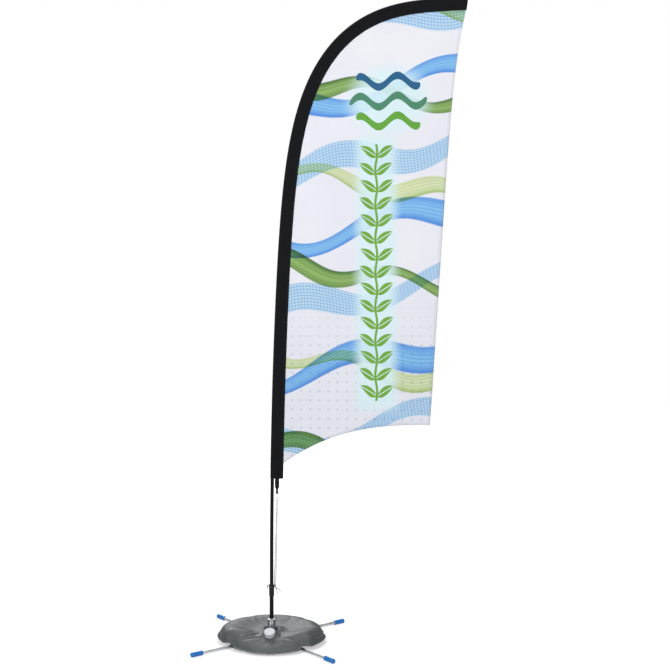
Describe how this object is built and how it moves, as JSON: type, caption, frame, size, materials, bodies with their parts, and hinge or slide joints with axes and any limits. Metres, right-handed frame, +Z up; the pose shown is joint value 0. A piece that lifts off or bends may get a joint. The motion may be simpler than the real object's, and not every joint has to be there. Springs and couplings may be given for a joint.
{
  "type": "feather flag",
  "caption": "Feather-shaped banner on a curved pole that spins on a folding cross base, weighted by a ring-shaped water bag.",
  "frame": {"origin": "on the floor under the centre of the cross base, on the axis that the mast turns about", "axes": "+Z up along the mast, +X from the mast towards the banner's free edge, +Y through the banner, away from the filler cap"},
  "size_m": [1.1508, 0.6026, 2.7816],
  "materials": {
    "chrome": "polished chrome plate",
    "steel": "drawn steel tube, bright",
    "zinc": "zinc-plated steel, satin",
    "rubber": "matt black rubber",
    "blue_plastic": "moulded blue plastic, slightly glossy",
    "black_plastic": "moulded black plastic, satin",
    "white_plastic": "moulded white plastic, slightly glossy",
    "pole_black": "black anodised, satin",
    "black_fabric": "black woven polyester",
    "banner_fabric": "printed knitted polyester in blues, greens and white",
    "cord": "braided grey-white cord",
    "bag_pvc": "dark grey coated fabric, satin"
  },
  "bodies": {
    "base": {"foot_pad": "rubber", "lower_plate": "zinc", "upper_plate": "zinc", "centre_screw": "zinc", "plate_spacer": "steel", "hub_housing": "chrome", "retaining_ring": "steel", "bearing_spacer": "steel", "outer_race_lower": "steel", "outer_race_upper": "steel", "pivot_bolt_1": "zinc", "pivot_nut_1": "zinc", "pivot_bolt_2": "zinc", "pivot_nut_2": "zinc", "pivot_bolt_3": "zinc", "pivot_nut_3": "zinc", "pivot_bolt_4": "zinc", "pivot_nut_4": "zinc"},
    "leg_1": {"leg_tube_1": "steel", "leg_cap_1": "blue_plastic"},
    "leg_2": {"leg_tube_2": "steel", "leg_cap_2": "blue_plastic"},
    "leg_3": {"leg_tube_3": "steel", "leg_cap_3": "blue_plastic"},
    "leg_4": {"leg_tube_4": "steel", "leg_cap_4": "blue_plastic"},
    "spindle": {"spindle": "chrome", "inner_race_lower": "steel", "inner_race_upper": "steel", "spindle_circlip": "steel", "slip_washer": "white_plastic"},
    "ball_cages": {"ball_cage_lower": "steel", "ball_cage_upper": "steel"},
    "mast": {"foot_tube": "pole_black", "foot_spigot": "steel", "pole_section_1": "pole_black", "pole_section_2": "pole_black", "pole_section_3": "pole_black", "pole_section_4": "pole_black", "pole_spigot": "steel", "pole_ferrule": "steel", "pole_tip_cap": "rubber", "hook_collar": "black_plastic", "pole_sleeve": "black_fabric", "tip_patch": "black_fabric", "banner_panel": "banner_fabric", "tension_strap": "black_fabric", "strap_ring": "chrome", "tension_cord": "cord", "cord_knot": "cord"},
    "water_bag": {"water_bag": "bag_pvc", "valve_base": "white_plastic"},
    "cap_seal": {"cap_seal": "rubber"},
    "valve_cap": {"valve_cap": "white_plastic"}
  },
  "joints": [
    {"name": "leg_1_fold", "type": "hinge", "parent": "base", "child": "leg_1", "pos_m": [0.022, 0.022, 0.01], "axis": [0, 0, -1], "range_deg": [0, 45]},
    {"name": "leg_2_fold", "type": "hinge", "parent": "base", "child": "leg_2", "pos_m": [-0.022, 0.022, 0.01], "axis": [0, 0, 1], "range_deg": [0, 45]},
    {"name": "leg_3_fold", "type": "hinge", "parent": "base", "child": "leg_3", "pos_m": [-0.022, -0.022, 0.01], "axis": [0, 0, -1], "range_deg": [0, 45]},
    {"name": "leg_4_fold", "type": "hinge", "parent": "base", "child": "leg_4", "pos_m": [0.022, -0.022, 0.01], "axis": [0, 0, 1], "range_deg": [0, 45]},
    {"name": "mast_spin", "type": "hinge", "parent": "base", "child": "spindle", "pos_m": [0, 0, 0.0866], "axis": [0, 0, 1], "continuous": true},
    {"name": "cage_orbit", "type": "hinge", "parent": "base", "child": "ball_cages", "pos_m": [0, 0, 0.0792], "axis": [0, 0, 1], "continuous": true},
    {"name": "mast_lift", "type": "slide", "parent": "spindle", "child": "mast", "axis": [0, 0, 1], "range_m": [0, 0.075]},
    {"name": "bag_lift", "type": "slide", "parent": "base", "child": "water_bag", "axis": [0, 0, 1], "range_m": [0, 0.09]},
    {"name": "cap_lift", "type": "slide", "parent": "water_bag", "child": "cap_seal", "axis": [0, -0.4067, 0.9135], "range_m": [0, 0.01]},
    {"name": "cap_turn", "type": "hinge", "parent": "cap_seal", "child": "valve_cap", "pos_m": [0.005, -0.0941, 0.0467], "axis": [0, -0.4067, 0.9135], "range_deg": [0, 900]}
  ],
  "couplings": [
    {"joint": "cage_orbit", "follows": "mast_spin", "ratio": 0.43},
    {"joint": "cap_lift", "follows": "cap_turn", "m_per_rad": 0.000636}
  ]
}
